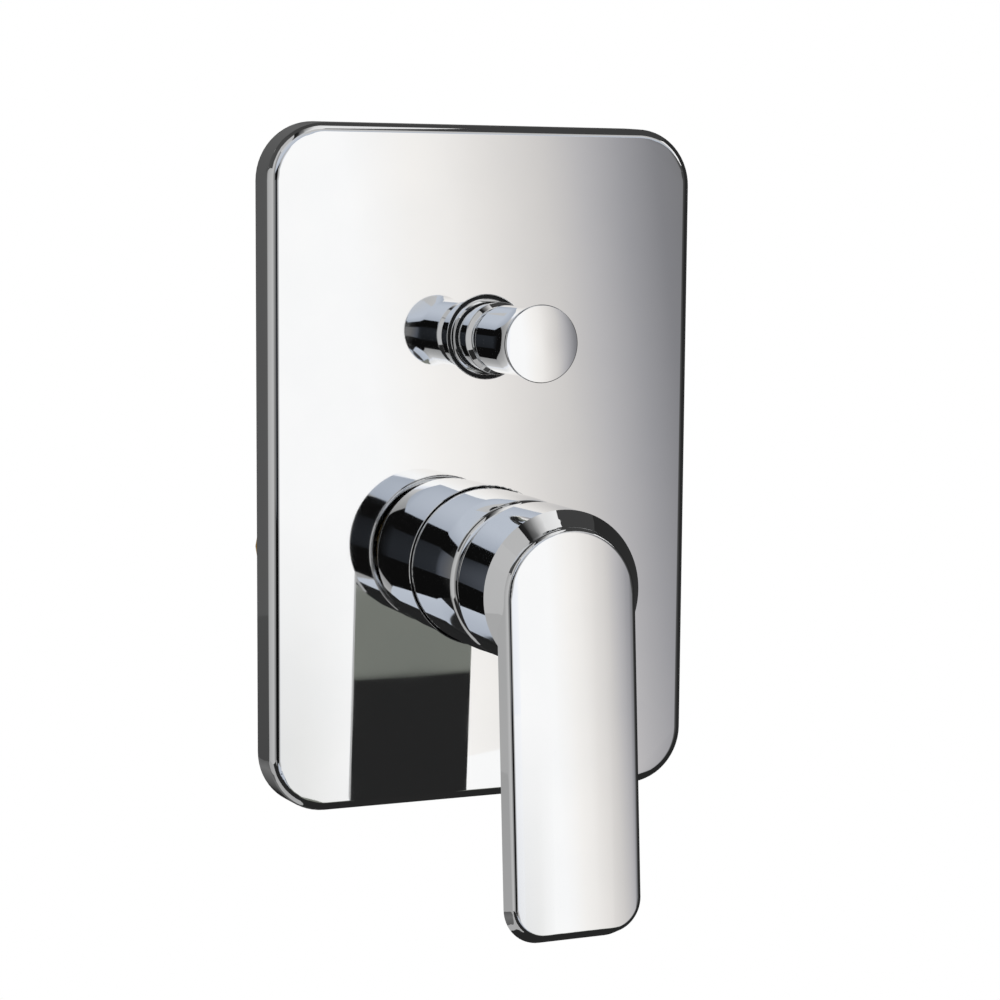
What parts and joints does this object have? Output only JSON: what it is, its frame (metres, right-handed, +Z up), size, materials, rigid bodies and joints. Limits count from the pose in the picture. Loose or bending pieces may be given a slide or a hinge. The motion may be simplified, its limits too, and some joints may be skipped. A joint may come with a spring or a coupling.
{
  "type": "concealed shower mixer",
  "caption": "Concealed shower mixer: chromed wall plate with a lever on a round sleeve and a pull knob above, brass valve body and ceramic cartridge behind.",
  "frame": {"origin": "centre of the cover plate's outline on the wall plane, which is the plate's back rim", "axes": "+Z up along the plate's height, -Y out of the wall towards the user, +X to the user's right"},
  "size_m": [0.133, 0.1397, 0.2242],
  "materials": {
    "chrome": "polished",
    "brass": "cast and machined",
    "steel": "ground",
    "rubber": "matte",
    "foam": "closed-cell foam",
    "white_plastic": "moulded",
    "grey_plastic": "moulded",
    "ceramic": "lapped"
  },
  "bodies": {
    "fixed_body": {"cover_plate": "chrome", "plate_gasket": "foam", "sleeve_grommet": "rubber", "collar_grommet": "rubber", "valve_body": "brass", "sleeve_o_rings": "rubber", "sleeve": "chrome", "cartridge_base": "white_plastic", "base_seals": "rubber", "fixed_disc": "ceramic", "cartridge_housing": "white_plastic", "cartridge_nut": "brass", "diverter_bonnet": "brass", "spindle_o_ring": "rubber", "knob_collar": "chrome"},
    "rotor": {"stem_rotor": "grey_plastic", "pivot_pin": "steel"},
    "handle": {"lever": "chrome", "lever_stem": "brass", "grub_screw": "steel", "grub_plug": "grey_plastic"},
    "mixing_disc": {"moving_disc": "ceramic", "disc_carrier": "grey_plastic"},
    "diverter": {"diverter_knob": "chrome", "diverter_spindle": "steel", "poppet": "brass", "poppet_washers": "rubber", "diverter_spring": "steel"}
  },
  "joints": [
    {"name": "temperature", "type": "hinge", "parent": "fixed_body", "child": "rotor", "pos_m": [0, -0.018, -0.0293], "axis": [0, -1, 0], "range_deg": [-45, 45]},
    {"name": "flow_lift", "type": "hinge", "parent": "rotor", "child": "handle", "pos_m": [0, -0.018, -0.0293], "axis": [-1, 0, 0], "range_deg": [0, 22]},
    {"name": "disc_slide", "type": "slide", "parent": "rotor", "child": "mixing_disc", "axis": [0, 0, -1], "range_m": [0, 0.003]},
    {"name": "diverter_pull", "type": "slide", "parent": "fixed_body", "child": "diverter", "axis": [0, -1, 0], "range_m": [0, 0.008], "stiffness_N_per_m": 400, "springref_m": -0.004, "deforming": ["diverter_spring"]}
  ],
  "couplings": [
    {"joint": "disc_slide", "follows": "flow_lift", "m_per_rad": 0.0078}
  ]
}
